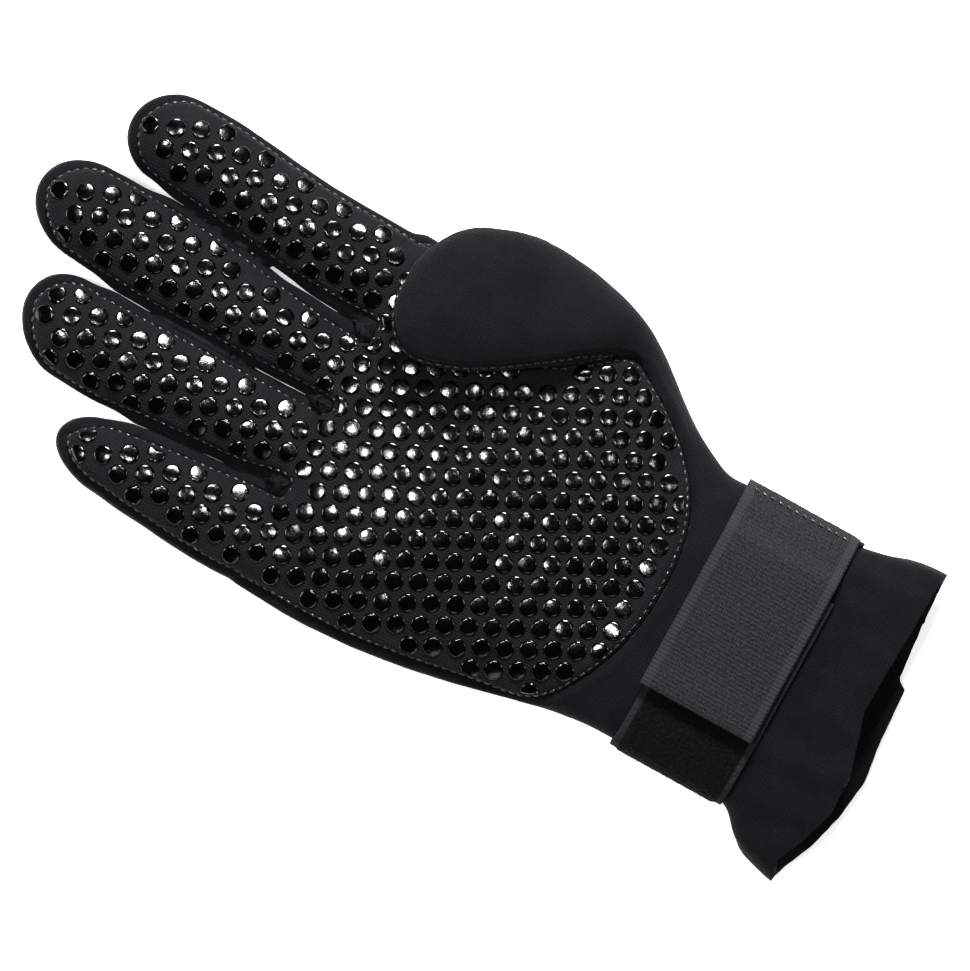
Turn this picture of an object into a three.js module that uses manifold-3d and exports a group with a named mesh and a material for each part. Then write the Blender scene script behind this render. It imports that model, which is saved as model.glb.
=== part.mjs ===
// A neoprene diving glove for the right hand. It lies palm up, with the thumb folded over the palm.
// Millimetres. +Y runs to the fingertips, +X to the thumb side and +Z up, out of the palm.
// The tables give lengths as shares of the named sizes. y = 0 is the crotch of the thumb.
import * as THREE from "three";
import { mergeVertices } from "three/addons/utils/BufferGeometryUtils.js";
import Module from "manifold-3d";

const wasm = await Module();
wasm.setup();

// Sizes of the hand
const handWidth = 110; // across the knuckles
const palmLength = 72; // from the crotch of the thumb to the crotches of the fingers
const palmThick = 22;
const palmFront = 5; // depth of the rounded front of the palm, between the fingers
const heelLength = 42.2; // from the crotch of the thumb to the seat of the strap
const fingerThick = 18.4;
const littleLength = 58; // of the fingers, from their crotches to their tips
const ringLength = 83.5;
const middleLength = 95.5;
const indexLength = 82;
const fingertipRise = 3; // the fingertips curl up off the table
const thumbLength = 66.5; // from its crotch to its tip
const thumbThick = 19;
const thumbClear = 2.5; // from the palm up to the thumb

// Sizes of the wrist and cuff
const wristWidth = 79;
const wristThick = 22;
const wristShift = -10.9; // the wrist lies to the little finger's side
const cuffLength = 33;
const cuffWidth = 97.2;
const cuffThick = 22;
const cuffShift = -15.2;

// Sizes of the cloth and its seams
const wall = 3; // neoprene with its jersey
const seamGap = 0.3;
const seamInset = 2.7; // the grip panel stops this far inside the outline, or a share of it where a table says
const tipInset = 2.4; // and this far inside the fingertips
const thumbSeamHigh = 1.5; // the seam along the thumb's edge lies above its middle, so it shows from above
const flattened = 1.2; // how much of each section the table presses flat

// Sizes of the strap
const strapWidth = 34.5;
const strapThick = 1.6;
const strapSlip = 1.7; // the band sits this much lower down the wrist than the tab
const strapPlay = 0.5; // at each edge of the seat
const strapJoin = 3; // the tab meets the band this far above the middle of the wrist's side
const tabThick = 2.2;
const tabLength = 63.5; // as seen from above
const tabLift = 0.8; // its free end stands off the band
const tabStep = 6; // it comes down from the band to the wrist over this length
const bandOverlap = 43.5; // the tab covers this much of the band, and its rest lies on the wrist

// Fineness of the rounded forms
const bodySides = 32;
const bodyHollowSides = 22;
const fingerSides = 18;
const fingerHollowSides = 12;
const thumbSides = 22;
const thumbHollowSides = 14;
const strapSteps = 28;
const tabSteps = 12;
const capAngles = [24, 46, 65, 80]; // degrees round a rounded end

// Squareness of the sections: 2 is an ellipse
const palmPower = 2.5;
const fingerPower = 2.3;
const wristPower = 2.8;

// The palm, from the front to the thumb's crotch: along palmLength, left and right in handWidths, high in
// palmThicks. The grip panel stops edge seamInsets inside the right side, where a minus is past it.
const palmRows = [
  { along: 0.93, left: -0.58, right: 0.415, high: 0.86, edge: 0.45 },
  { along: 0.62, left: -0.583, right: 0.409, high: 0.98, edge: 0.45 },
  { along: 0.42, left: -0.576, right: 0.408, high: 1, edge: -0.4 },
  { along: 0.2, left: -0.553, right: 0.42, high: 1, edge: -0.4 },
  { along: 0, left: -0.529, right: 0.472, high: 1, edge: 3 },
];
// The heel, from the thumb's crotch to the strap: along heelLength, left and right in handWidths, rise in the
// height of the strap's seat
const heelRows = [
  { along: 0.26, left: -0.504, right: 0.408, rise: 0 },
  { along: 0.5, left: -0.481, right: 0.337, rise: 0 },
  { along: 0.75, left: -0.465, right: 0.281, rise: 0.1 },
  { along: 0.9, left: -0.458, right: 0.25, rise: 0.7 },
];
// The cuff, from the strap to past its hems: along cuffLength, left and right of its middle in half cuffWidths,
// thick in cuffThicks, rise in the height of the strap's seat
const cuffRows = [
  { along: 0.05, left: -0.745, right: 0.916, thick: 1, rise: 0.8 },
  { along: 0.17, left: -0.85, right: 0.93, thick: 1, rise: 0.3 },
  { along: 0.29, left: -0.93, right: 0.96, thick: 1.02, rise: 0 },
  { along: 0.46, left: -0.965, right: 0.99, thick: 1, rise: 0 },
  { along: 0.69, left: -1, right: 1, thick: 0.95, rise: 0 },
  { along: 1.15, left: -0.99, right: 0.99, thick: 0.9, rise: 0 },
];
// The hems of the cuff: across from its middle in half cuffWidths, along cuffLength from the strap
const palmHem = [
  { across: -1.1, along: 0.67 },
  { across: -0.86, along: 0.63 },
  { across: -0.7, along: 0.73 },
  { across: -0.5, along: 0.82 },
  { across: -0.27, along: 0.81 },
  { across: -0.08, along: 0.73 },
  { across: 0.1, along: 0.645 },
  { across: 0.3, along: 0.65 },
  { across: 0.7, along: 0.675 },
  { across: 1.1, along: 0.71 },
];
const backHem = [
  { across: -1.1, along: 0.65 },
  { across: -0.97, along: 0.69 },
  { across: -0.72, along: 0.85 },
  { across: -0.5, along: 0.935 },
  { across: -0.25, along: 0.98 },
  { across: 0, along: 0.93 },
  { across: 0.32, along: 0.9 },
];
// To the right of its step the hem of the back is higher.
const backHemStep = [
  { across: 0.36, along: 0.815 },
  { across: 0.7, along: 0.765 },
  { across: 1.1, along: 0.72 },
];
// The fingers, from inside the palm to where the rounded tip starts: along the finger's own length from the
// palm, left and right in handWidths. The end of the tip lies tipShift right of the last row's middle, in
// handWidths. The grip panel stops leftEdge and rightEdge seamInsets inside its two sides.
const fingers = [
  {
    length: littleLength,
    leftEdge: 1,
    rightEdge: 0.45,
    tipShift: 0,
    rows: [
      { along: -0.3, left: -0.555, right: -0.335 },
      { along: 0, left: -0.583, right: -0.318 },
      { along: 0.3, left: -0.575, right: -0.336 },
      { along: 0.52, left: -0.563, right: -0.348 },
      { along: 0.7, left: -0.552, right: -0.361 },
    ],
  },
  {
    length: ringLength,
    leftEdge: 0.45,
    rightEdge: 0.45,
    tipShift: 0.022,
    rows: [
      { along: -0.2, left: -0.29, right: -0.082 },
      { along: 0, left: -0.292, right: -0.083 },
      { along: 0.12, left: -0.318, right: -0.085 },
      { along: 0.4, left: -0.331, right: -0.088 },
      { along: 0.65, left: -0.351, right: -0.091 },
      { along: 0.82, left: -0.342, right: -0.093 },
    ],
  },
  {
    length: middleLength,
    leftEdge: 0.45,
    rightEdge: 0.45,
    tipShift: 0.008,
    rows: [
      { along: -0.2, left: -0.068, right: 0.122 },
      { along: 0.05, left: -0.071, right: 0.126 },
      { along: 0.2, left: -0.077, right: 0.14 },
      { along: 0.38, left: -0.08, right: 0.165 },
      { along: 0.6, left: -0.078, right: 0.183 },
      { along: 0.83, left: -0.063, right: 0.183 },
    ],
  },
  {
    length: indexLength,
    leftEdge: 0.45,
    rightEdge: 0.45,
    tipShift: -0.004,
    rows: [
      { along: -0.2, left: 0.165, right: 0.395 },
      { along: 0.06, left: 0.154, right: 0.409 },
      { along: 0.25, left: 0.158, right: 0.41 },
      { along: 0.45, left: 0.173, right: 0.422 },
      { along: 0.68, left: 0.192, right: 0.441 },
      { along: 0.83, left: 0.203, right: 0.44 },
    ],
  },
];
// The thumb, from inside the heel to its tip: along thumbLength, left and right in handWidths. Its two edges
// are leftHigh and rightHigh, in the height at which it rests over the palm, and thick is in thumbThicks. The
// grip panel takes its underside from the left as far as grip, in half widths from its middle.
const thumbRows = [
  { along: -0.51, left: 0.09, right: 0.262, leftHigh: 0.3, rightHigh: 0.25, thick: 0.7, grip: -0.5 },
  { along: -0.33, left: 0.165, right: 0.335, leftHigh: 0.31, rightHigh: 0.23, thick: 0.72, grip: -0.5 },
  { along: -0.165, left: 0.265, right: 0.41, leftHigh: 0.33, rightHigh: 0.23, thick: 0.74, grip: -0.5 },
  { along: -0.06, left: 0.336, right: 0.462, leftHigh: 0.35, rightHigh: 0.24, thick: 0.78, grip: -0.5 },
  { along: 0.015, left: 0.382, right: 0.486, leftHigh: 0.42, rightHigh: 0.25, thick: 0.84, grip: -0.5 },
  { along: 0.105, left: 0.362, right: 0.51, leftHigh: 0.57, rightHigh: 0.28, thick: 0.9, grip: -0.5 },
  { along: 0.225, left: 0.309, right: 0.531, leftHigh: 0.75, rightHigh: 0.35, thick: 0.97, grip: -0.3 },
  { along: 0.36, left: 0.255, right: 0.545, leftHigh: 0.86, rightHigh: 0.47, thick: 1, grip: 0 },
  { along: 0.5, left: 0.198, right: 0.548, leftHigh: 0.93, rightHigh: 0.6, thick: 1, grip: 0.4 },
  { along: 0.63, left: 0.154, right: 0.541, leftHigh: 0.98, rightHigh: 0.72, thick: 1, grip: 1.3 },
  { along: 0.765, left: 0.13, right: 0.51, leftHigh: 1, rightHigh: 0.82, thick: 0.98, grip: 1.3 },
];
const thumbTipShift = -0.034; // the end of the tip, right of the last row's middle in handWidths
// The edge of the grip panel over the heel: across in handWidths, along heelLength
const heelEdge = [
  { across: -0.482, along: 0.45 },
  { across: -0.43, along: 0.585 },
  { across: -0.35, along: 0.705 },
  { across: -0.25, along: 0.805 },
  { across: -0.12, along: 0.86 },
  { across: 0, along: 0.855 },
  { across: 0.1, along: 0.81 },
  { across: 0.19, along: 0.7 },
  { across: 0.265, along: 0.53 },
  { across: 0.33, along: 0.32 },
  { across: 0.375, along: 0.12 },
];

// Sizes that follow from these
const seatRise = strapThick + seamGap;
const seatStart = -heelLength;
const seatEnd = seatStart - strapWidth - strapSlip - 2 * strapPlay;
const cuffSeam = (seatStart + seatEnd) / 2;
const cuffMiddle = cuffThick / 2;
const thumbRest = palmThick + thumbClear + thumbThick / 2;
const draftReach = 14; // how far a drafted cutter stands past the surface
const draftDepth = 1.15 * wall; // and how far it reaches in, through the wall
const sideReach = 6; // how far the thumb's cutter stands past its side and tip
const tableDepth = 10; // how far a cutter reaches under the table
const farAway = 200;

const { cos, sin, sqrt, abs, sign, PI } = Math;
const radians = THREE.MathUtils.degToRad;
const mix = THREE.MathUtils.lerp;

// Solids
function toSolid(geometry) {
  const bare = geometry.clone();
  bare.deleteAttribute("normal");
  bare.deleteAttribute("uv");
  const merged = mergeVertices(bare, 1e-4);
  const vertProperties = merged.attributes.position.array;
  return new wasm.Manifold(new wasm.Mesh({ numProp: 3, vertProperties, triVerts: merged.index.array }));
}

function joined(solids) {
  return solids.reduce((a, b) => a.add(b));
}

// The largest body of a cut, without the crumbs that a seam leaves in a crotch.
function largest(solid) {
  return solid.decompose().reduce((a, b) => (b.volume() > a.volume() ? b : a));
}

// A closed skin over rings of as many points each, whose ends are fans round their middles.
function loft(rings) {
  const sides = rings[0].length;
  const points = rings.flat();
  const last = points.length - sides;
  for (const end of [rings[0], rings.at(-1)]) {
    points.push(end.reduce((sum, p) => sum.add(p), new THREE.Vector3()).divideScalar(sides));
  }
  const faces = [];
  for (let i = 0; i < sides; i++) {
    const next = (i + 1) % sides;
    for (let ring = 0; ring < last; ring += sides) {
      const [a, b, c, d] = [ring + i, ring + next, ring + sides + next, ring + sides + i];
      faces.push([a, b, c], [a, c, d]);
    }
    faces.push([next, i, points.length - 2], [last + i, last + next, points.length - 1]);
  }
  const cross = new THREE.Vector3();
  const sixVolumes = faces.map(([a, b, c]) => points[a].dot(cross.crossVectors(points[b], points[c])));
  const volume = sixVolumes.reduce((sum, part) => sum + part);
  const outward = volume > 0 ? faces : faces.map(([a, b, c]) => [a, c, b]);
  const geometry = new THREE.BufferGeometry().setFromPoints(points);
  geometry.setIndex(outward.flat());
  return toSolid(geometry);
}

// Sections across the hand, each a rounded oblong in a plane of one y
function section(y, left, right, floor, thick, power) {
  return {
    y,
    x: (left + right) / 2,
    z: floor + (thick - flattened) / 2,
    halfWidth: (right - left) / 2,
    halfThick: (thick + flattened) / 2,
    tilt: 0,
    floor,
    power,
  };
}

function rounded(value, power) {
  return sign(value) * abs(value) ** (2 / power);
}

// The points of a section, inset by a wall or grown by a gap, and never below what it rests on.
function ringOf(part, inset, sides) {
  const { y, x, z, halfWidth, halfThick, tilt, floor, power } = part;
  return Array.from({ length: sides }, (_, i) => {
    const angle = (i / sides) * 2 * PI;
    const across = (halfWidth - inset) * rounded(cos(angle), power);
    const up = (halfThick - inset) * rounded(sin(angle), power);
    const high = z - across * sin(tilt) + up * cos(tilt);
    return new THREE.Vector3(x + across * cos(tilt) + up * sin(tilt), y, Math.max(high, floor + inset));
  });
}

// The sections round a blunt end. Their width falls away as a finger's does, or only as a rounded edge's.
function roundedEnd(base, length, shift, lift, inset, blunt) {
  return capAngles.map((degrees) => {
    const out = sin(radians(degrees));
    const left = cos(radians(degrees));
    return {
      ...base,
      y: base.y + (length - inset) * out,
      x: base.x + shift * out,
      z: base.z + lift * out,
      halfWidth: blunt ? base.halfWidth - length * (1 - left) : inset + (base.halfWidth - inset) * left,
      halfThick: inset + (base.halfThick - inset) * left,
    };
  });
}

// The section at any y, between those of a list that runs from high y to low
function sectionAt(sections, y) {
  const after = Math.max(1, sections.findIndex((s) => s.y <= y));
  const [a, b] = [sections[after - 1], sections[after]];
  const share = THREE.MathUtils.clamp((a.y - y) / (a.y - b.y), 0, 1);
  const between = { ...a, y };
  for (const key of ["x", "z", "halfWidth", "halfThick", "floor"]) between[key] = mix(a[key], b[key], share);
  return between;
}

// The height of a section's upper surface at x.
function surfaceAt(part, x) {
  const across = Math.min(1, abs(x - part.x) / part.halfWidth);
  return part.z + part.halfThick * (1 - across ** part.power) ** (1 / part.power);
}

// Sections of the body, from the front of the palm to the mouth of the cuff
const wristLeft = wristShift - wristWidth / 2;
const wristRight = wristShift + wristWidth / 2;
const wrist = section(seatStart, wristLeft, wristRight, seatRise, wristThick, wristPower);
const palmSections = palmRows.map(({ along, left, right, high }) =>
  section(along * palmLength, left * handWidth, right * handWidth, 0, high * palmThick, palmPower),
);
const bodySections = [
  ...palmSections,
  ...heelRows.map(({ along, left, right, rise }) => {
    const thick = mix(palmThick, wristThick, along);
    const power = mix(palmPower, wristPower, along);
    return section(-along * heelLength, left * handWidth, right * handWidth, rise * seatRise, thick, power);
  }),
  wrist,
  { ...wrist, y: seatEnd },
  ...cuffRows.map(({ along, left, right, thick, rise }) => {
    const half = cuffWidth / 2;
    const [leftX, rightX] = [cuffShift + left * half, cuffShift + right * half];
    const y = seatEnd - along * cuffLength;
    return section(y, leftX, rightX, rise * seatRise, thick * cuffThick, wristPower);
  }),
];

function bodySolid(inset, sides) {
  const front = roundedEnd(palmSections[0], palmFront, 0, 0, inset, true).reverse();
  return loft([...front, ...bodySections].map((part) => ringOf(part, inset, sides)));
}

// Sections of a finger, from inside the palm to the end of its tip
function fingerSections(finger, inset) {
  const straight = finger.rows.map(({ along, left, right }) => {
    const y = palmLength + along * finger.length;
    const part = section(y, left * handWidth, right * handWidth, 0, fingerThick, fingerPower);
    return { ...part, z: part.z + fingertipRise * Math.max(0, along) ** 2 };
  });
  const end = straight.at(-1);
  const toTip = palmLength + finger.length - end.y;
  const shift = finger.tipShift * handWidth;
  return [...straight, ...roundedEnd(end, toTip, shift, fingertipRise / 3, inset, false)];
}

function fingerSolid(finger, inset, sides) {
  return loft(fingerSections(finger, inset).map((part) => ringOf(part, inset, sides)));
}

// Sections of the thumb, tilted so that its left edge rests higher than its right. Each one's width is worked
// out so that it fills its row's outline as seen from above.
function thumbSections(inset) {
  const dual = fingerPower / (fingerPower - 1);
  const straight = thumbRows.map(({ along, left, right, leftHigh, rightHigh, thick }) => {
    const halfPlan = ((right - left) * handWidth) / 2;
    const halfThick = (thick * thumbThick) / 2;
    const tilt = Math.atan2((leftHigh - rightHigh) * thumbRest, 2 * halfPlan);
    const halfWidth = (halfPlan ** dual - (halfThick * sin(tilt)) ** dual) ** (1 / dual) / cos(tilt);
    return {
      y: along * thumbLength,
      x: ((left + right) * handWidth) / 2,
      z: ((leftHigh + rightHigh) * thumbRest) / 2,
      halfWidth,
      halfThick,
      tilt,
      floor: 0,
      power: fingerPower,
    };
  });
  const end = straight.at(-1);
  return [...straight, ...roundedEnd(end, thumbLength - end.y, thumbTipShift * handWidth, 0, inset, false)];
}

function thumbSolid(inset, sides) {
  return loft(thumbSections(inset).map((part) => ringOf(part, inset, sides)));
}

function handSolid(inset, sides, roundSides) {
  const fingerSolids = fingers.map((finger) => fingerSolid(finger, inset, roundSides));
  return joined([bodySolid(inset, sides), ...fingerSolids]);
}

// Seams

// A block over an outline on the upper surface. Its sides lean out at 45 degrees and cross the wall squarely at
// the outline, so the panel that it cuts ends where the outline says.
function draftedBlock(outline, grow) {
  const slide = grow * sqrt(2);
  const corners = outline.map((p, i) => {
    const before = outline.at(i - 1);
    const after = outline[(i + 1) % outline.length];
    const out = new THREE.Vector2(after.y - before.y, before.x - after.x).normalize();
    const at = (reach) => new THREE.Vector3(p.x + out.x * reach, p.y + out.y * reach, p.z + reach - slide);
    return { low: at(-draftDepth), high: at(draftReach) };
  });
  return loft([corners.map((c) => c.low), corners.map((c) => c.high)]);
}

// Outlines run against the clock as seen from above, so that their outward side is on the right.
function palmOutline() {
  const at = (x, y) => {
    return { x, y, z: surfaceAt(sectionAt(bodySections, y), x) };
  };
  const left = palmRows.map((row) => at(row.left * handWidth + seamInset, row.along * palmLength));
  const heel = heelEdge.map((row) => at(row.across * handWidth, -row.along * heelLength));
  const right = palmRows.map((row) => {
    return at(row.right * handWidth - row.edge * seamInset, row.along * palmLength);
  });
  return [...left, ...heel, ...right.reverse()];
}

// A finger's outline goes over from the insets of its sides to that of its tip where the rounded tip starts.
function fingerOutline(finger) {
  const parts = fingerSections(finger, tipInset).slice(0, -1);
  const side = (way, edge) =>
    parts.map((part, i) => {
      const degrees = capAngles[i - finger.rows.length] ?? 0;
      const inset = mix(edge * seamInset, tipInset, sin(radians(degrees)));
      const x = part.x + way * (part.halfWidth - inset);
      return { x, y: part.y, z: surfaceAt(part, x) };
    });
  return [...side(1, finger.rightEdge), ...side(-1, finger.leftEdge).reverse()];
}

function palmBlock(grow) {
  const blocks = [palmOutline(), ...fingers.map(fingerOutline)].map((outline) => draftedBlock(outline, grow));
  return joined(blocks);
}

// Everything under the seam of the thumb, as far across as the grip panel reaches.
function thumbBlock(grow) {
  const parts = thumbSections(0).slice(0, thumbRows.length);
  const rows = parts.map((part, i) => ({ ...part, grip: thumbRows[i].grip })).filter((part) => part.y > 0);
  const end = rows.at(-1);
  rows.push({ ...end, y: thumbLength + sideReach });
  const rings = rows.map(({ y, x, z, halfWidth, tilt, grip }) => {
    const at = (across, up) =>
      new THREE.Vector3(x + across * cos(tilt) + up * sin(tilt), y, z - across * sin(tilt) + up * cos(tilt));
    const left = at(-halfWidth - sideReach - grow, thumbSeamHigh + grow);
    const right = at(grip * halfWidth + grow, grow - thumbSeamHigh);
    const under = -tableDepth;
    return [left, right, new THREE.Vector3(right.x, y, under), new THREE.Vector3(left.x, y, under)];
  });
  rings[0].forEach((p) => (p.y -= grow));
  return loft(rings);
}

function slab(from, to) {
  const box = new THREE.BoxGeometry(farAway, to - from, farAway);
  return toSolid(box.translate(0, (from + to) / 2, 0));
}

// What lies past a hem, above or below the middle of the cuff.
function pastHem(hem, step, low, high) {
  const at = ({ across, along }) =>
    new THREE.Vector2(cuffShift + (across * cuffWidth) / 2, seatEnd - along * cuffLength);
  const points = hem.map(at);
  const shape = new THREE.Shape();
  shape.moveTo(-farAway, points[0].y);
  shape.lineTo(points[0].x, points[0].y);
  shape.splineThru(points.slice(1));
  step.map(at).forEach((p) => shape.lineTo(p.x, p.y));
  shape.lineTo(farAway, shape.currentPoint.y);
  shape.lineTo(farAway, -farAway);
  shape.lineTo(-farAway, -farAway);
  const upright = { depth: high - low, bevelEnabled: false, curveSegments: 2 };
  const block = new THREE.ExtrudeGeometry(shape, upright);
  return toSolid(block.translate(0, 0, low));
}

// The shell of the whole glove and its panels
const outerHand = handSolid(0, bodySides, fingerSides);
const outerHandClear = handSolid(-seamGap, bodySides, fingerSides);
const hollow = handSolid(wall, bodyHollowSides, fingerHollowSides).add(thumbSolid(wall, thumbHollowSides));
const shell = outerHand
  .add(thumbSolid(0, thumbSides))
  .subtract(hollow)
  .subtract(pastHem(palmHem, [], cuffMiddle, farAway))
  .subtract(pastHem(backHem, backHemStep, -tableDepth, cuffMiddle));
const hand = shell.intersect(slab(cuffSeam + seamGap / 2, farAway));
const cuff = shell.intersect(slab(-farAway, cuffSeam - seamGap / 2));
const palmGrip = hand.intersect(palmBlock(0)).intersect(outerHand);
const thumbGrip = hand.intersect(thumbBlock(0)).subtract(outerHandClear);
const back = hand
  .subtract(palmBlock(seamGap).intersect(outerHandClear))
  .subtract(thumbBlock(seamGap).subtract(outerHand));

// The strap, as strips that follow the wrist's section at a distance
function wristPath(angle, off) {
  const across = rounded(cos(angle), wristPower);
  const up = rounded(sin(angle), wristPower);
  const point = new THREE.Vector2(wrist.x + wrist.halfWidth * across, wrist.z + wrist.halfThick * up);
  const out = new THREE.Vector2(
    (sign(across) * abs(across) ** (wristPower - 1)) / wrist.halfWidth,
    (sign(up) * abs(up) ** (wristPower - 1)) / wrist.halfThick,
  ).normalize();
  if (point.y < wrist.floor) {
    point.y = wrist.floor;
    out.set(0, -1);
  }
  return point.addScaledVector(out, off);
}

function angleAtX(x) {
  const across = (x - wrist.x) / wrist.halfWidth;
  return Math.acos(sign(across) * abs(across) ** (wristPower / 2));
}

function angleAtHeight(up) {
  return Math.asin((up / wrist.halfThick) ** (wristPower / 2));
}

// A strip round the wrist, in the plane of its section. The offset is a function of the angle.
function strip(from, to, steps, offset, thick) {
  const angles = Array.from({ length: steps + 1 }, (_, i) => mix(from, to, i / steps));
  const inside = angles.map((angle) => wristPath(angle, offset(angle)));
  const outside = angles.map((angle) => wristPath(angle, offset(angle) + thick));
  const shape = new THREE.Shape([...inside, ...outside.reverse()]);
  return new THREE.ExtrudeGeometry(shape, { depth: strapWidth, bevelEnabled: false });
}

const tabRight = wristRight + seamGap + tabThick;
const tabLeft = tabRight - tabLength;
const bandTop = tabLeft + bandOverlap;
const overBand = seamGap + strapThick + seamGap;

function tabOffset(angle) {
  const x = wristPath(angle, 0).x;
  const onBand = THREE.MathUtils.smoothstep(bandTop + 1.5 * tabStep - x, 0, tabStep);
  const lifted = THREE.MathUtils.smoothstep(tabLeft + 2 * tabStep - x, 0, 2 * tabStep);
  return mix(seamGap, overBand, onBand) + tabLift * lifted;
}

const bandEnd = 2 * PI + angleAtHeight(strapJoin);
const tabStart = angleAtHeight(strapJoin + seamGap);
const bandGeometry = strip(angleAtX(bandTop), bandEnd, strapSteps, () => seamGap, strapThick);
const tabGeometry = strip(tabStart, angleAtX(tabLeft), tabSteps, tabOffset, tabThick);

// Finishes
const neoprene = { color: "#1b1b20", roughness: 0.85, metalness: 0 };
const gripCloth = { color: "#17171a", roughness: 0.5, metalness: 0 };
const loopCloth = { color: "#151513", roughness: 0.95, metalness: 0 };
const hookTape = { color: "#3b3b3e", roughness: 0.7, metalness: 0 };

function meshOf(name, geometry, finish) {
  geometry.computeVertexNormals();
  const mesh = new THREE.Mesh(geometry, new THREE.MeshStandardMaterial(finish));
  mesh.name = name;
  return mesh;
}

function panel(name, solid, finish) {
  const { vertProperties, triVerts } = largest(solid).getMesh();
  const geometry = new THREE.BufferGeometry();
  geometry.setAttribute("position", new THREE.BufferAttribute(vertProperties, 3));
  geometry.setIndex(new THREE.BufferAttribute(triVerts, 1));
  return meshOf(name, geometry, finish);
}

// A strip is drawn in its section's plane and turned upright round the wrist.
function strapPiece(name, geometry, upperEdge, finish) {
  const mesh = meshOf(name, geometry, finish);
  mesh.rotation.x = PI / 2;
  mesh.position.y = upperEdge;
  return mesh;
}

const body = new THREE.Group();
body.add(
  panel("back_panel", back, neoprene),
  panel("palm_grip", palmGrip, gripCloth),
  panel("thumb_grip", thumbGrip, gripCloth),
  panel("cuff", cuff, neoprene),
  strapPiece("strap_band", bandGeometry, seatStart - strapPlay - strapSlip, loopCloth),
  strapPiece("hook_tab", tabGeometry, seatStart - strapPlay, hookTape),
);

// The origin is under the middle of the whole glove.
const box = new THREE.Box3().setFromObject(body);
const middle = box.getCenter(new THREE.Vector3());
body.position.set(-middle.x, -middle.y, -box.min.z);

const glove = new THREE.Group();
glove.add(body);

export default glove;
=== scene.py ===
# A neoprene diving glove for the right hand. It lies palm up, with the thumb folded over the palm.
# The tables and sizes are in millimetres, with y = 0 at the thumb's crotch. ORIGIN puts them in the frame.
import math
import random

import bmesh
import bpy
import numpy as np
from mathutils import Matrix, Vector, noise
from mathutils.bvhtree import BVHTree
from mathutils.kdtree import KDTree


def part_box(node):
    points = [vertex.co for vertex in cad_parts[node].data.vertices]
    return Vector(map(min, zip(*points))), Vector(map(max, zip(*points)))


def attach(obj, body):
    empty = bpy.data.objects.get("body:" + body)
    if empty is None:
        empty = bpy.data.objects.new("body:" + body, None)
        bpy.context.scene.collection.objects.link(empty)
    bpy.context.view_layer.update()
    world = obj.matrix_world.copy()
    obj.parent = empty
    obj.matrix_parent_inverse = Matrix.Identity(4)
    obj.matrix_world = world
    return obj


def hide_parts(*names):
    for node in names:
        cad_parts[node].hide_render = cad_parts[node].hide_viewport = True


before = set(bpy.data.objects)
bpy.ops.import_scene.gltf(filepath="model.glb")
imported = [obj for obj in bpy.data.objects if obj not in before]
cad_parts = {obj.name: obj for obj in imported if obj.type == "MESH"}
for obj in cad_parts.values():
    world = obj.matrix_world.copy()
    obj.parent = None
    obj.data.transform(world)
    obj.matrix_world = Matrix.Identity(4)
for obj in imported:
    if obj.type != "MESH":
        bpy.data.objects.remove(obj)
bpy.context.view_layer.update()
MM = 0.001
ABOVE = 80.0  # higher than all of the glove
DOWN = Vector((0, 0, -1))

# Sizes of the hand
HAND_WIDE = 110.0
PALM_LONG = 72.0
PALM_THICK = 22.0
PALM_FRONT = 5.0
HEEL_LONG = 42.2
FINGER_THICK = 18.4
TIP_RISE = 3.0
THUMB_LONG = 66.5
THUMB_THICK = 19.0
THUMB_CLEAR = 2.5

# Sizes of the wrist and cuff
WRIST_WIDE = 79.0
WRIST_THICK = 22.0
WRIST_SHIFT = -10.9
CUFF_LONG = 33.0
CUFF_WIDE = 97.2
CUFF_THICK = 22.0
CUFF_SHIFT = -15.2
HEM_UNEVEN = 0.2

# Sizes of the cloth and its seams
WALL = 3.0
SEAM_INSET = 2.7
TIP_INSET = 2.4
PALM_SEAM_HIGH = 10.0
THUMB_SEAM_HIGH = 1.5
FLATTENED = 1.2
SEAM_GAP = 0.3
GROOVE_DEEP = 0.9
GROOVE_WIDE = 1.1
ROLL_HIGH = 0.3
ROLL_AWAY = 2.6  # the cloth rolls up a little beside its seams, at this distance
ROLL_WIDE = 1.2
SWELL = 0.35
SMALL_SWELL = 0.14
PUCKER = 0.8
VOXEL = 0.8
LINING_KEPT = 0.12  # the share of the lining's faces that stays

# How the fingers lie side by side
SLIT = 0.06
PARTED = 0.5  # the middle finger and the index finger stand this much apart on each side
PARTED_AT = 98.0
PARTED_LONG = 7.0
TOUCH_UNTIL = 0.85  # in the shorter finger's length
TOUCH_EASE = 10.0
TOUCH_REACH = 5.0
TOUCH_CORE = 0.9  # what lies nearer the gap's middle than the rest of its half width stays
CROTCH_START = PALM_LONG - 4.0
SLIM = 0.3  # the fingers are this much slimmer until their skin is fused, which keeps their sides apart

# Sizes of the strap
STRAP_WIDE = 34.5
BAND_THICK = 1.6
BAND_SLIP = 1.7
STRAP_PLAY = 0.5
STRAP_JOIN = 3.0
TAB_THICK = 2.2
TAB_LONG = 63.5
TAB_LIFT = 0.8
TAB_STEP = 6.0
BAND_OVERLAP = 43.5

# Squareness of the sections: 2 is an ellipse
PALM_POWER = 2.5
FINGER_POWER = 2.3
WRIST_POWER = 2.8

# The palm: along PALM_LONG, left and right in HAND_WIDE, high in PALM_THICK, and the grip panel's inset from the
# right side in SEAM_INSET
PALM_ROWS = [
    (0.93, -0.58, 0.415, 0.86, 0.45),
    (0.62, -0.583, 0.409, 0.98, 0.45),
    (0.42, -0.576, 0.408, 1.0, -0.4),
    (0.2, -0.553, 0.42, 1.0, -0.4),
    (0.0, -0.529, 0.472, 1.0, 3.0),
]
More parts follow.
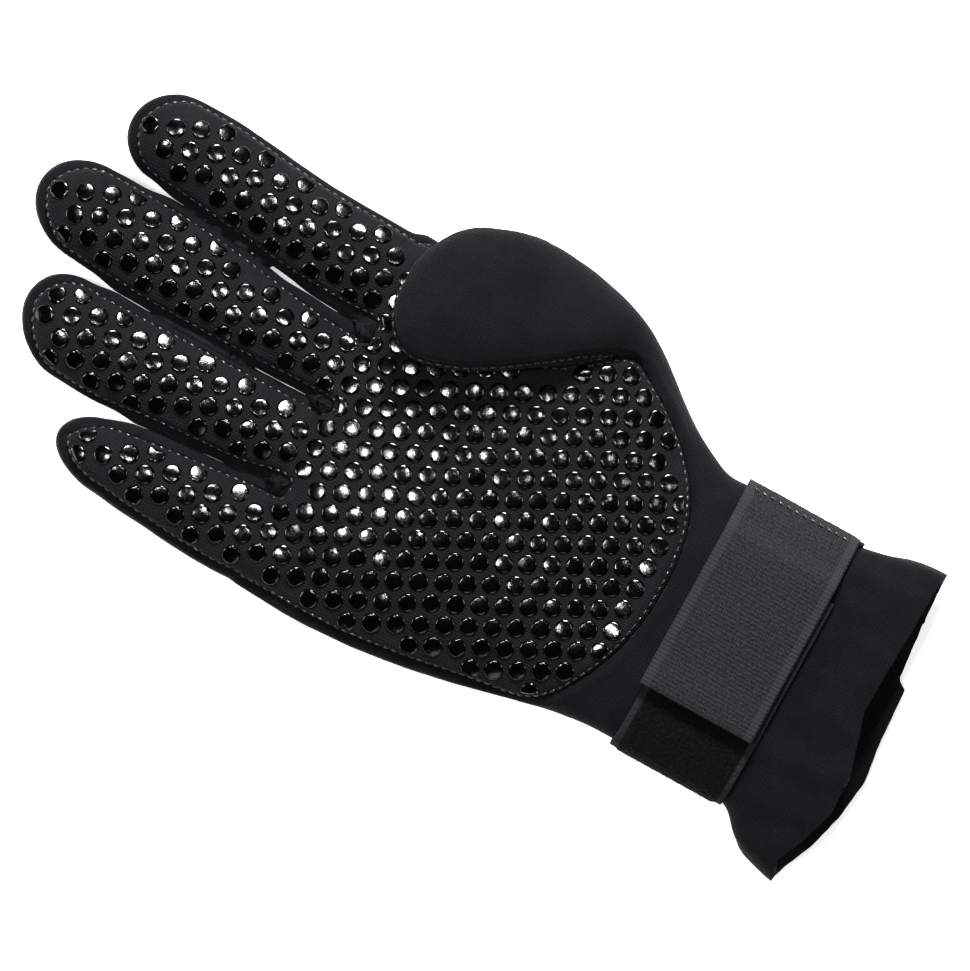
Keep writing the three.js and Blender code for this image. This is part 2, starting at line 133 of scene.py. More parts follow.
# The heel: along HEEL_LONG, left and right in HAND_WIDE, rise in the height of the strap's seat
HEEL_ROWS = [
    (0.26, -0.504, 0.408, 0.0),
    (0.5, -0.481, 0.337, 0.0),
    (0.75, -0.465, 0.281, 0.1),
    (0.9, -0.458, 0.25, 0.7),
]
# The cuff: along CUFF_LONG, left and right in half CUFF_WIDE, thick in CUFF_THICK, rise as in the heel
CUFF_ROWS = [
    (0.05, -0.745, 0.916, 1.0, 0.8),
    (0.17, -0.85, 0.93, 1.0, 0.3),
    (0.29, -0.93, 0.96, 1.02, 0.0),
    (0.46, -0.965, 0.99, 1.0, 0.0),
    (0.69, -1.0, 1.0, 0.95, 0.0),
    (1.15, -0.99, 0.99, 0.9, 0.0),
]
# The hems: across in half CUFF_WIDE, along CUFF_LONG
PALM_HEM = [
    (-1.1, 0.67), (-0.86, 0.63), (-0.7, 0.73), (-0.5, 0.82), (-0.27, 0.81), (-0.08, 0.73), (0.1, 0.645),
    (0.3, 0.65), (0.7, 0.675), (1.1, 0.71),
]
BACK_HEM = [
    (-1.1, 0.65), (-0.97, 0.69), (-0.72, 0.85), (-0.5, 0.935), (-0.25, 0.98), (0.0, 0.93), (0.32, 0.9),
    (0.36, 0.815), (0.7, 0.765), (1.1, 0.72),
]
# The fingers: length, tip_shift in HAND_WIDE, edges, which are the grip panel's insets from its two sides in
# SEAM_INSET, and rows of along the finger, left and right in HAND_WIDE. drift and slope say how far the grip
# pads' pattern slips to the right at the finger's root, and more for each mm from there.
FINGERS = [
    dict(
        length=58.0, tip_shift=0.0, edges=(1.0, 0.45), drift=1.7, slope=-0.065,
        rows=[
            (-0.3, -0.555, -0.335), (0.0, -0.583, -0.318), (0.3, -0.575, -0.336),
            (0.52, -0.563, -0.348), (0.7, -0.552, -0.361),
        ],
    ),
    dict(
        length=83.5, tip_shift=0.022, edges=(0.45, 0.45), drift=1.7, slope=0.005,
        rows=[
            (-0.2, -0.29, -0.082), (0.0, -0.292, -0.083), (0.12, -0.318, -0.085), (0.4, -0.331, -0.088),
            (0.65, -0.351, -0.091), (0.82, -0.342, -0.093),
        ],
    ),
    dict(
        length=95.5, tip_shift=0.008, edges=(0.45, 0.45), drift=3.0, slope=0.055,
        rows=[
            (-0.2, -0.068, 0.122), (0.05, -0.071, 0.126), (0.2, -0.077, 0.14), (0.38, -0.08, 0.165),
            (0.6, -0.078, 0.183), (0.83, -0.063, 0.183),
        ],
    ),
    dict(
        length=82.0, tip_shift=-0.004, edges=(0.45, 0.45), drift=3.9, slope=0.073,
        rows=[
            (-0.2, 0.165, 0.395), (0.06, 0.154, 0.409), (0.25, 0.158, 0.41), (0.45, 0.173, 0.422),
            (0.68, 0.192, 0.441), (0.83, 0.203, 0.44),
        ],
    ),
]
# The thumb: along THUMB_LONG, left and right in HAND_WIDE, the heights of its two edges in the height at
# which it rests over the palm, thick in THUMB_THICK, and how far across its underside the grip cloth reaches,
# in half widths
THUMB_ROWS = [
    (-0.51, 0.09, 0.262, 0.3, 0.25, 0.7, -0.5),
    (-0.33, 0.165, 0.335, 0.31, 0.23, 0.72, -0.5),
    (-0.165, 0.265, 0.41, 0.33, 0.23, 0.74, -0.5),
    (-0.06, 0.336, 0.462, 0.35, 0.24, 0.78, -0.5),
    (0.015, 0.382, 0.486, 0.42, 0.25, 0.84, -0.5),
    (0.105, 0.362, 0.51, 0.57, 0.28, 0.9, -0.5),
    (0.225, 0.309, 0.531, 0.75, 0.35, 0.97, -0.3),
    (0.36, 0.255, 0.545, 0.86, 0.47, 1.0, 0.0),
    (0.5, 0.198, 0.548, 0.93, 0.6, 1.0, 0.4),
    (0.63, 0.154, 0.541, 0.98, 0.72, 1.0, 1.3),
    (0.765, 0.13, 0.51, 1.0, 0.82, 0.98, 1.3),
]
THUMB_TIP_SHIFT = -0.034
# The edge of the grip panel over the heel: across in HAND_WIDE, along HEEL_LONG
HEEL_EDGE = [
    (-0.482, 0.45), (-0.43, 0.585), (-0.35, 0.705), (-0.25, 0.805), (-0.12, 0.86), (0.0, 0.855),
    (0.1, 0.81), (0.19, 0.7), (0.265, 0.53), (0.33, 0.32), (0.375, 0.12),
]

# Sizes that follow from these
SEAT_RISE = BAND_THICK + SEAM_GAP
SEAT_START = -HEEL_LONG
SEAT_END = SEAT_START - STRAP_WIDE - BAND_SLIP - 2 * STRAP_PLAY
CUFF_SEAM = (SEAT_START + SEAT_END) / 2
CUFF_MIDDLE = CUFF_THICK / 2
TAB_EDGE = SEAT_START - STRAP_PLAY
BAND_EDGE = TAB_EDGE - BAND_SLIP
THUMB_REST = PALM_THICK + THUMB_CLEAR + THUMB_THICK / 2
WRIST_LEFT = WRIST_SHIFT - WRIST_WIDE / 2
WRIST_RIGHT = WRIST_SHIFT + WRIST_WIDE / 2

# The frame's place of the tables' origin, read from the strap, whose ends the tables know.
band_low, band_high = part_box("strap_band")
tab_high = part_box("hook_tab")[1]
ORIGIN = Vector(((band_low.x + band_high.x) / 2 - WRIST_SHIFT * MM, tab_high.y - TAB_EDGE * MM, 0))


def place(point):
    """A point of the tables, in millimetres, as a point of the frame in metres."""
    return ORIGIN + Vector(point) * MM


def rounded(value, power):
    return np.sign(value) * np.abs(value) ** (2 / power)


def smoothstep(value, low, high):
    share = np.clip((value - low) / (high - low), 0, 1)
    return share * share * (3 - 2 * share)


# Sections across the hand, each a dict of arrays or numbers, in order of y


def section(y, left, right, floor, thick, power):
    return {
        "y": y,
        "x": (left + right) / 2,
        "z": floor + (thick - FLATTENED) / 2,
        "wide": (right - left) / 2,
        "thick": (thick + FLATTENED) / 2,
        "tilt": 0.0,
        "floor": floor,
        "power": power,
    }


def eased(sections, step=2.0, reach=9.0):
    """The sections again at every step of y, with their sizes eased over a reach, so that no row shows."""
    ys = np.array([part["y"] for part in sections])
    order = np.argsort(ys)
    count = max(4, int((ys.max() - ys.min()) / step))
    fine = np.linspace(ys.min(), ys.max(), count)
    spread = int(reach / step)
    kernel = np.hanning(2 * spread + 3)
    kernel /= kernel.sum()
    made = {"y": fine}
    for key in sections[0]:
        if key != "y":
            values = np.interp(fine, ys[order], np.array([part[key] for part in sections])[order])
            start = 2 * values[0] - values[spread + 1:0:-1]
            end = 2 * values[-1] - values[-2:-spread - 3:-1]
            made[key] = np.convolve(np.concatenate([start, values, end]), kernel, "valid")
    return [{key: made[key][i] for key in made} for i in range(count)]


def rounded_end(base, length, shift, lift, blunt):
    """The sections round a finger's tip, or round the front of the palm where the end is blunt."""
    made = []
    for degrees in range(8, 89, 8):
        out = math.sin(math.radians(degrees))
        left = math.cos(math.radians(degrees))
        part = dict(base, y=base["y"] + length * out, x=base["x"] + shift * out, z=base["z"] + lift * out)
        part["wide"] = base["wide"] - length * (1 - left) if blunt else base["wide"] * left
        part["thick"] = base["thick"] * left
        made.append(part)
    return made


def body_sections():
    rows = []
    for along, left, right, high, _ in PALM_ROWS:
        y = along * PALM_LONG
        rows.append(section(y, left * HAND_WIDE, right * HAND_WIDE, 0.0, high * PALM_THICK, PALM_POWER))
    for along, left, right, rise in HEEL_ROWS:
        thick = PALM_THICK + (WRIST_THICK - PALM_THICK) * along
        power = PALM_POWER + (WRIST_POWER - PALM_POWER) * along
        floor = rise * SEAT_RISE
        rows.append(section(-along * HEEL_LONG, left * HAND_WIDE, right * HAND_WIDE, floor, thick, power))
    wrist = section(SEAT_START, WRIST_LEFT, WRIST_RIGHT, SEAT_RISE, WRIST_THICK, WRIST_POWER)
    rows += [wrist, dict(wrist, y=SEAT_END)]
    for along, left, right, thick, rise in CUFF_ROWS:
        sides = [CUFF_SHIFT + side * CUFF_WIDE / 2 for side in (left, right)]
        y = SEAT_END - along * CUFF_LONG
        rows.append(section(y, *sides, rise * SEAT_RISE, thick * CUFF_THICK, WRIST_POWER))
    return eased(rows, reach=5.0)


def finger_sections(finger, slim=0.0):
    straight = []
    for along, left, right in finger["rows"]:
        y = PALM_LONG + along * finger["length"]
        part = section(y, left * HAND_WIDE, right * HAND_WIDE, 0.0, FINGER_THICK, FINGER_POWER)
        part["z"] += TIP_RISE * max(0.0, along) ** 2
        part["wide"] -= slim
        straight.append(part)
    straight = eased(straight)
    end = straight[-1]
    to_tip = PALM_LONG + finger["length"] - end["y"]
    return straight + rounded_end(end, to_tip, finger["tip_shift"] * HAND_WIDE, TIP_RISE / 3, False)


def thumb_sections():
    dual = FINGER_POWER / (FINGER_POWER - 1)
    rows = []
    for along, left, right, left_high, right_high, thick, grip in THUMB_ROWS:
        plan = (right - left) * HAND_WIDE / 2
        half_thick = thick * THUMB_THICK / 2
        tilt = math.atan2((left_high - right_high) * THUMB_REST, 2 * plan)
        wide = (plan**dual - (half_thick * math.sin(tilt)) ** dual) ** (1 / dual) / math.cos(tilt)
        part = section(along * THUMB_LONG, left * HAND_WIDE, right * HAND_WIDE, 0.0, 0.0, FINGER_POWER)
        middle_high = (left_high + right_high) * THUMB_REST / 2
        rows.append(dict(part, z=middle_high, wide=wide, thick=half_thick, tilt=tilt, grip=grip))
    straight = eased(rows)
    end = straight[-1]
    return straight + rounded_end(end, THUMB_LONG - end["y"], THUMB_TIP_SHIFT * HAND_WIDE, 0.0, False)


def ring_of(part, sides):
    """A section's outline, pressed flat where it rests on the table."""
    turn = np.linspace(0, 2 * math.pi, sides, endpoint=False)
    across = part["wide"] * rounded(np.cos(turn), part["power"])
    up = part["thick"] * rounded(np.sin(turn), part["power"])
    xs = part["x"] + across * math.cos(part["tilt"]) + up * math.sin(part["tilt"])
    zs = part["z"] - across * math.sin(part["tilt"]) + up * math.cos(part["tilt"])
    return np.stack([xs, np.full(sides, part["y"]), np.maximum(zs, part["floor"])], axis=1)


def loft(bm, sections, sides):
    """Bridges the sections' outlines into one closed skin."""
    loops = []
    for part in sections:
        made = bmesh.ops.create_circle(bm, segments=sides, radius=1)["verts"]
        for vert, point in zip(made, ring_of(part, sides)):
            vert.co = point
        loops.append(list(dict.fromkeys(edge for vert in made for edge in vert.link_edges)))
    for before, after in zip(loops, loops[1:]):
        bmesh.ops.bridge_loops(bm, edges=before + after)
    bmesh.ops.holes_fill(bm, edges=loops[0] + loops[-1], sides=sides)
    bmesh.ops.recalc_face_normals(bm, faces=bm.faces)
    return bm


def mesh_of(bm, name):
    mesh = bpy.data.meshes.new(name)
    bm.to_mesh(mesh)
    bm.free()
    return mesh


def fused_skin(*parts):
    """One soft skin over all the parts: a voxel remesh, and then smoothing, which rounds the crotches."""
    whole = bmesh.new()
    for part in parts:
        mesh = bpy.data.meshes.new("part")
        part.to_mesh(mesh)
        whole.from_mesh(mesh)
    piece = bpy.data.objects.new("skin", mesh_of(whole, "skin"))
    bpy.context.scene.collection.objects.link(piece)
    remesh = piece.modifiers.new("fuse", "REMESH")
    remesh.mode = "VOXEL"
    remesh.voxel_size = VOXEL
    soften = piece.modifiers.new("soften", "SMOOTH")
    soften.factor = 0.5
    soften.iterations = 16
    graph = bpy.context.evaluated_depsgraph_get()
    made = bmesh.new()
    made.from_object(piece, graph)
    bpy.data.objects.remove(piece)
    return made


def side_line(finger, way):
    """The x of a finger's side at any y, as two arrays."""
    parts = finger_sections(finger)
    return [part["y"] for part in parts], [part["x"] + way * part["wide"] for part in parts]


def close_gaps(points):
    """Spreads the fingers' facing sides until they all but touch, as they do on a glove laid flat."""
    x, y = points[:, 0], points[:, 1]
    for first, second in zip(FINGERS, FINGERS[1:]):
        end = PALM_LONG + TOUCH_UNTIL * min(first["length"], second["length"])
        left = np.interp(y, *side_line(first, 1)) - SLIM
        right = np.interp(y, *side_line(second, -1)) + SLIM
        middle = (left + right) / 2
        half = (right - left) / 2
        near = (y > CROTCH_START) * (1 - smoothstep(y, end - TOUCH_EASE, end))
        reach = np.abs(x - middle) - half
        parted = PARTED * np.exp(-(((y - PARTED_AT) / PARTED_LONG) ** 2)) if second is FINGERS[-1] else 0.0
        push = np.maximum(half - SLIT / 2 - parted, 0) * near * (1 - smoothstep(reach, 0.0, TOUCH_REACH))
        x = x + np.where(reach > -half * TOUCH_CORE, np.sign(middle - x) * push, 0.0)
    points[:, 0] = x
    return points


# Lines and outlines seen from above


def outline_depth(points, outline):
    """How far each point lies inside a closed outline, as seen from above. Outside it is negative."""
    best = np.full(len(points), 1e9)
    inside = np.zeros(len(points), bool)
    x, y = points[:, 0], points[:, 1]
    for (ax, ay), (bx, by) in zip(outline, np.roll(outline, -1, axis=0)):
        dx, dy = bx - ax, by - ay
        share = np.clip(((x - ax) * dx + (y - ay) * dy) / max(dx * dx + dy * dy, 1e-9), 0, 1)
        best = np.minimum(best, np.hypot(x - ax - share * dx, y - ay - share * dy))
        if ay != by:
            crosses = (ay > y) != (by > y)
            inside ^= crosses & (x < ax + (y - ay) / (by - ay) * dx)
    return np.where(inside, best, -best)


def smooth_curve(points, step=1.5):
    """The points joined by a line and eased at its corners."""
    points = np.array(points, float)
    lengths = np.concatenate([[0], np.cumsum(np.hypot(*np.diff(points, axis=0).T))])
    along = np.linspace(0, lengths[-1], max(4, int(lengths[-1] / step)))
    fine = np.stack([np.interp(along, lengths, points[:, i]) for i in (0, 1)], axis=1)
    for _ in range(12):
        fine[1:-1] = (fine[:-2] + 2 * fine[1:-1] + fine[2:]) / 4
    return fine


def palm_outline():
    right = [(r * HAND_WIDE - edge * SEAM_INSET, along * PALM_LONG) for along, _, r, _, edge in PALM_ROWS]
    left = [(l * HAND_WIDE + SEAM_INSET, along * PALM_LONG) for along, l, _, _, _ in PALM_ROWS]
    heel = [(across * HAND_WIDE, -along * HEEL_LONG) for across, along in HEEL_EDGE]
    return smooth_curve(left + heel + right[::-1])


def finger_outline(finger):
    """A finger's grip cloth. Its insets go over from the sides' to the tip's round the tip."""
    parts = finger_sections(finger)
    tip = PALM_LONG + finger["length"] - TIP_INSET
    bend = PALM_LONG + finger["rows"][-1][0] * finger["length"]
    sides = []
    for way, edge in zip((-1, 1), finger["edges"]):
        side = []
        for part in parts:
            share = max(0.0, (part["y"] - bend) / (tip + TIP_INSET - bend))
            inset = edge * SEAM_INSET * (1 - share) + TIP_INSET * share
            y = part["y"] - TIP_INSET * share
            side.append((part["x"] + way * max(0.2, part["wide"] - inset), y))
        sides.append(side)
    return np.array(sides[1] + sides[0][::-1])


def union_depth(points, outlines, ease=2.0):
    """How far inside any of the outlines, with the corners between them eased."""
    depths = [outline_depth(points, outline) for outline in outlines]
    total = depths[0]
    for depth in depths[1:]:
        share = np.clip(0.5 + 0.5 * (depth - total) / ease, 0, 1)
        total = total + (depth - total) * share + ease * share * (1 - share)
    return total


def hem_at(hem, x):
    across = (x - CUFF_SHIFT) / (CUFF_WIDE / 2)
    table = np.array(hem)
    return SEAT_END - np.interp(across, table[:, 0], table[:, 1]) * CUFF_LONG


# The cutting of the skin into panels


def values_layer(bm, name, values):
    layer = bm.verts.layers.float.get(name) or bm.verts.layers.float.new(name)
    for vert, value in zip(bm.verts, values):
        vert[layer] = value
    return layer


SNAP = 0.18  # a corner this near the line, in its edge's length, moves onto it


def cut_where_zero(bm, layers, layer):
    """Cuts the skin along the line where the layer's value is 0, and keeps the other layers' values right."""
    for edge in list(bm.edges):
        a, b = edge.verts
        if a[layer] * b[layer] < 0:
            share = a[layer] / (a[layer] - b[layer])
            near = a if share < 0.5 else b
            if min(share, 1 - share) < SNAP:
                near.co = a.co.lerp(b.co, share)
                near[layer] = 0.0
    crossed = [edge for edge in bm.edges if edge.verts[0][layer] * edge.verts[1][layer] < 0]
    added = []
    for edge in crossed:
        a, b = edge.verts
        share = a[layer] / (a[layer] - b[layer])
        kept = {each: a[each] + (b[each] - a[each]) * share for each in layers}
        _, vert = bmesh.utils.edge_split(edge, a, share)
        for each, value in kept.items():
            vert[each] = value
        vert[layer] = 0.0
        added.append(vert)
    on_line = [vert for vert in bm.verts if vert[layer] == 0.0]
    bmesh.ops.connect_verts(bm, verts=on_line)
    bmesh.ops.remove_doubles(bm, verts=on_line, dist=0.3 * VOXEL)
    return [vert for vert in bm.verts if vert[layer] == 0.0]


def side_of(face, layer):
    return sum(vert[layer] for vert in face.verts)


def panel_of(bm, number):
    """A copy of the skin with only the faces of that panel, whose number is their material's for now."""
    made = bm.copy()
    others = [face for face in made.faces if face.material_index != number]
    bmesh.ops.delete(made, geom=others, context="FACES")
    # Crumbs of a cut, apart from the panel itself, go too.
    left = set(made.faces)
    islands = []
    while left:
        island = {left.pop()}
        front = list(island)
        while front:
            found = [f for edge in front.pop().edges for f in edge.link_faces if f in left]
            left.difference_update(found)
            island.update(found)
            front.extend(found)
        islands.append(island)
    largest = max(islands, key=len)
    bmesh.ops.delete(made, geom=[face for face in made.faces if face not in largest], context="FACES")
    for face in made.faces:
        face.material_index = 0
    return made


def draw_back_edges(bm):
    """Moves a panel's edge back from the seam by half its gap."""
    gap = SEAM_GAP / 2 + 0.03
    moves = []
    for vert in bm.verts:
        if vert.is_boundary:
            inner = [e.other_vert(vert).co for e in vert.link_edges if not e.other_vert(vert).is_boundary]
            if inner:
                towards = sum(inner, Vector()) / len(inner) - vert.co
                if towards.length > 1e-6:
                    moves.append((vert, towards.normalized() * gap))
    for vert, move in moves:
        vert.co += move


def longest_edge(bm):
    """The panel's longest edge as points in order, anticlockwise from the one nearest the cuff. The edges are
    kept in order, so that every run begins its stitches at the same place."""
    edges = dict.fromkeys(edge for edge in bm.edges if edge.is_boundary)
    loops = []
    while edges:
        edge = edges.popitem()[0]
        start, at = edge.verts
        points = [start, at]
        while True:
            found = next((e for e in at.link_edges if e in edges), None)
            if found is None:
                break
            del edges[found]
            at = found.other_vert(at)
            if at is start:
                break
            points.append(at)
        loops.append(np.array([vert.co for vert in points]))
    points = max(loops, key=len)
    x, y = points[:, 0], points[:, 1]
    if (x * np.roll(y, -1) - y * np.roll(x, -1)).sum() < 0:
        points = points[::-1]
    return np.roll(points, -int(np.argmin(points[:, 1])), axis=0)


# Finishes


def linear(colour):
    """An sRGB hex colour as linear red, green, blue and alpha."""
    parts = [int(colour[i : i + 2], 16) / 255 for i in (1, 3, 5)]
    return [c / 12.92 if c <= 0.04045 else ((c + 0.055) / 1.055) ** 2.4 for c in parts] + [1.0]


def add(tree, kind, inputs=(), output=0, feeds=None, **settings):
    """Adds a node and gives its output, which may feed a socket. inputs are its sockets' values, or the
    outputs that feed them, and settings its properties."""
    made = tree.nodes.new("ShaderNode" + kind)
    for name, value in settings.items():
        setattr(made, name, value)
    for name, value in dict(inputs).items():
        if isinstance(value, bpy.types.NodeSocket):
            tree.links.new(value, made.inputs[name])
        else:
            made.inputs[name].default_value = linear(value) if isinstance(value, str) else value
    if feeds:
        tree.links.new(made.outputs[output], feeds)
    return made.outputs[output]


def new_finish(name, colour, roughness, **sockets):
    material = bpy.data.materials.new(name)
    material.use_nodes = True
    material.diffuse_color = linear(colour)
    shader = material.node_tree.nodes["Principled BSDF"]
    shader.inputs["Base Color"].default_value = linear(colour)
    shader.inputs["Roughness"].default_value = roughness
    for name, value in sockets.items():
        shader.inputs[name.replace("_", " ")].default_value = value
    return material, material.node_tree, shader.inputs


def bands(period):
    """The scale of a wave texture whose bands repeat at every so many millimetres."""
    return 2 * math.pi / 20 / (period * MM)


def grain(size):
    """The scale of a noise or cell texture with grains of that many millimetres."""
    return 1 / (size * MM)


def knitted(name, colour, lit, course, deep, **sockets):
    """Knitted jersey: fine wales crossed by courses, with the flecks of its yarn. The knit is drawn at about
    twice its real 0.4 mm, since it would otherwise vanish."""
    material, tree, shader = new_finish(name, colour, 0.8, **sockets)
    at = add(tree, "TexCoord", output="Object")
    waves = [("X", course, 3.0, 1.6), ("Y", course * 1.3, 3.5, 1.4)]
    wale, row = (
        add(
            tree,
            "TexWave",
            {"Vector": at, "Scale": bands(apart), "Distortion": bent, "Detail": 2.0, "Detail Scale": fine},
            "Fac",
            bands_direction=way,
        )
        for way, apart, bent, fine in waves
    )
    fleck = add(tree, "TexNoise", {"Vector": at, "Scale": grain(0.55), "Detail": 3.0}, "Fac")
    blotch = add(tree, "TexNoise", {"Vector": at, "Scale": grain(9.0), "Detail": 3.0}, "Fac")
    knit = add(tree, "Math", {0: wale, 1: row}, operation="MULTIPLY")
    height = add(tree, "Math", {0: knit, 1: fleck}, operation="ADD")
    add(tree, "Bump", {"Height": height, "Distance": deep * MM}, feeds=shader["Normal"])
    share = add(tree, "Math", {0: fleck, 1: blotch}, operation="MULTIPLY")
    share = add(tree, "MapRange", {"Value": share, "From Min": 0.12, "From Max": 0.42})
    add(tree, "Mix", {0: share, 6: colour, 7: lit}, 2, shader["Base Color"], data_type="RGBA")
    return material


# Neoprene faced with nylon jersey: bluish black, matt and soft, with a faint bloom where it turns away.
def neoprene_jersey():
    return knitted(
        "neoprene_jersey",
        "#08080a",
        "#101014",
        0.85,
        0.12,
        Sheen_Weight=0.03,
        Sheen_Roughness=0.5,
        Specular_IOR_Level=0.06,
    )


# The knitted face of the grip cloth between its pads: dull dark grey, with a coarser grain than the neoprene.
def grip_jersey():
    return knitted(
        "grip_jersey", "#09090b", "#141417", 0.85, 0.16, Sheen_Weight=0.02, Specular_IOR_Level=0.1
    )


# The lining of knitted nylon inside the glove: plain black.
def lining_jersey():
    return knitted("lining_jersey", "#0b0b0d", "#121215", 1.0, 0.15, Specular_IOR_Level=0.12)


# Cut neoprene foam at the hems: dead black and pitted with closed cells.
def cut_foam():
    material, tree, shader = new_finish("cut_foam", "#0b0b0c", 0.95, Specular_IOR_Level=0.1)
    at = add(tree, "TexCoord", output="Object")
    cells = add(tree, "TexVoronoi", {"Vector": at, "Scale": grain(0.7)}, "Distance")
    add(tree, "Bump", {"Height": cells, "Distance": 0.25 * MM}, feeds=shader["Normal"])
    return material


# Silicone printed through a screen: black and glossy, with a fine pebble in its skin that breaks up glare.
def printed_silicone():
    material, tree, shader = new_finish("printed_silicone", "#010101", 0.2, Specular_IOR_Level=0.55)
    at = add(tree, "TexCoord", output="Object")
    grit = {"Vector": at, "Scale": grain(0.75), "Detail": 3.0, "Roughness": 0.6}
    pebble = add(tree, "TexNoise", grit, "Fac")
    wave = add(tree, "TexNoise", {"Vector": at, "Scale": grain(3.2), "Detail": 1.0}, "Fac")
    swells = add(tree, "Bump", {"Height": wave, "Distance": 0.06 * MM})
    pitted = {"Height": pebble, "Distance": 0.028 * MM, "Normal": swells}
    add(tree, "Bump", pitted, feeds=shader["Normal"])
    dull = {"Value": pebble, "From Min": 0.3, "From Max": 0.7, "To Min": 0.08, "To Max": 0.16}
    add(tree, "MapRange", dull, feeds=shader["Roughness"])
    return material


# Bonded nylon thread: black with a dull shine along each stitch.
def nylon_thread():
    material, tree, shader = new_finish("nylon_thread", "#060607", 0.3, Specular_IOR_Level=0.8)
    at = add(tree, "TexCoord", output="Object")
    twist = add(tree, "TexWave", {"Vector": at, "Scale": bands(0.5)}, "Fac", bands_direction="DIAGONAL")
    add(tree, "Bump", {"Height": twist, "Distance": 0.05 * MM}, feeds=shader["Normal"])
    return material


def tape(name, colour, lit, selvedge, selvedge_wide, roughness, **sockets):
    """A woven tape. Its weave follows the tape, and a smoother selvedge runs along each edge."""
    material, tree, shader = new_finish(name, colour, roughness, **sockets)
    at = add(tree, "UVMap", uv_map="tape")
    across = add(tree, "SeparateXYZ", {"Vector": at}, "Y")
    middle = STRAP_WIDE * MM / 2
    away = add(tree, "Math", {0: across, 1: middle}, operation="SUBTRACT")
    away = add(tree, "Math", {0: away}, operation="ABSOLUTE")
    start = middle - selvedge_wide * MM
    soft = 0.3 * MM
    edge = add(tree, "MapRange", {"Value": away, "From Min": start - soft, "From Max": start + soft})
    yarn = {"Vector": at, "Scale": grain(0.8), "Detail": 3.0, "Roughness": 0.65}
    mottle = add(tree, "TexNoise", yarn, "Fac")
    share = add(tree, "MapRange", {"Value": mottle, "From Min": 0.35, "From Max": 0.68})
    woven = add(tree, "Mix", {0: share, 6: colour, 7: lit}, 2, data_type="RGBA")
    add(tree, "Mix", {0: edge, 6: woven, 7: selvedge}, 2, shader["Base Color"], data_type="RGBA")
    return material, tree, shader, at, mottle


# Woven nylon hook tape, seen from its back: dark grey, with fine ribs across it and mottled by its weave.
def hook_tape():
    material, tree, shader, at, mottle = tape(
        "hook_tape", "#151517", "#29292b", "#29292c", 2.6, 0.75, Specular_IOR_Level=0.1
    )
    rib, cross = (
        add(
            tree,
            "TexWave",
            {"Vector": at, "Scale": bands(apart), "Distortion": bent, "Detail": 1.0},
            "Fac",
            bands_direction=way,
        )
        for way, apart, bent in (("X", 1.15, 1.2), ("Y", 0.8, 1.0))
    )
    weave = add(tree, "Math", {0: rib, 1: cross}, operation="MULTIPLY")
    height = add(tree, "Math", {0: weave, 1: mottle}, operation="ADD")
    add(tree, "Bump", {"Height": height, "Distance": 0.2 * MM}, feeds=shader["Normal"])
    return material


# Brushed loop tape: black nap that swallows light between two grey woven selvedges.
def loop_tape():
    material, tree, shader, at, mottle = tape(
        "loop_tape",
        "#030303",
        "#10100f",
        "#232327",
        1.7,
        0.95,
        Sheen_Weight=0.03,
        Specular_IOR_Level=0.05,
    )
    tuft = add(tree, "TexVoronoi", {"Vector": at, "Scale": grain(1.1)}, "Distance")
    height = add(tree, "Math", {0: tuft, 1: mottle}, operation="ADD")
    add(tree, "Bump", {"Height": height, "Distance": 0.35 * MM}, feeds=shader["Normal"])
    return material


def finish(bm, name, finishes, replaces=()):
    """Makes a piece of a bmesh in millimetres. It rides on the glove's one body."""
    bm.transform(Matrix.Translation(ORIGIN) @ Matrix.Scale(MM, 4))
    for face in bm.faces:
        face.smooth = True
    mesh = mesh_of(bm, name)
    for finish_material in finishes:
        mesh.materials.append(finish_material)
    piece = bpy.data.objects.new(name, mesh)
    bpy.context.scene.collection.objects.link(piece)
    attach(piece, "root")
    if replaces:
        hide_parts(*replaces)
    return piece


def give_wall(bm, thick, out_of):
    """Thickens a panel inwards. Its face keeps material 0, its lining has 1 and its cut edge 2."""
    lining = set(bm.faces)
    moves = [(vert, out_of(vert) * thick) for vert in bm.verts]
    raised = bmesh.ops.extrude_face_region(bm, geom=bm.faces[:], use_keep_orig=True)["geom"]
    outer = {item for item in raised if isinstance(item, bmesh.types.BMFace)}
    for vert, move in moves:
        vert.co -= move
    for vert in bm.verts:
        vert.co.z = max(vert.co.z, 0.0)
    for face in bm.faces:
        face.material_index = 0 if face in outer else 1 if face in lining else 2
    bmesh.ops.recalc_face_normals(bm, faces=bm.faces)
    return bm


def thin_lining(piece, kept):
    """Leaves only a share of the faces of a piece's lining, which hardly shows."""
    mesh = piece.data
    seen = {index for polygon in mesh.polygons if polygon.material_index != 1 for index in polygon.vertices}
    lining = piece.vertex_groups.new(name="lining")
    lining.add([vert.index for vert in mesh.vertices if vert.index not in seen], 1.0, "REPLACE")
    thin = piece.modifiers.new("fewer_lining_faces", "DECIMATE")
    thin.ratio = (1 + kept) / 2
    thin.vertex_group = "lining"
    return piece


# The skin is one closed surface in millimetres, with every panel line worked out as a value on its vertices.
hand = bmesh.new()
BODY = body_sections()
loft(hand, rounded_end(BODY[-1], PALM_FRONT, 0.0, 0.0, True)[::-1] + BODY[::-1], 96)
for finger in FINGERS:
    loft(hand, finger_sections(finger, SLIM), 48)
thumb = bmesh.new()
THUMB = thumb_sections()
loft(thumb, THUMB, 56)
hand_tree = BVHTree.FromBMesh(hand)
thumb_tree = BVHTree.FromBMesh(thumb)
skin = fused_skin(hand, thumb)

GRIP_OUTLINES = [palm_outline()] + [finger_outline(finger) for finger in FINGERS]


def thumb_ness(points):
    """How much nearer each point is to the thumb than to the hand."""
    away = [tree.find_nearest(Vector(p))[3] for p in points for tree in (hand_tree, thumb_tree)]
    return np.array(away[0::2]) - np.array(away[1::2])


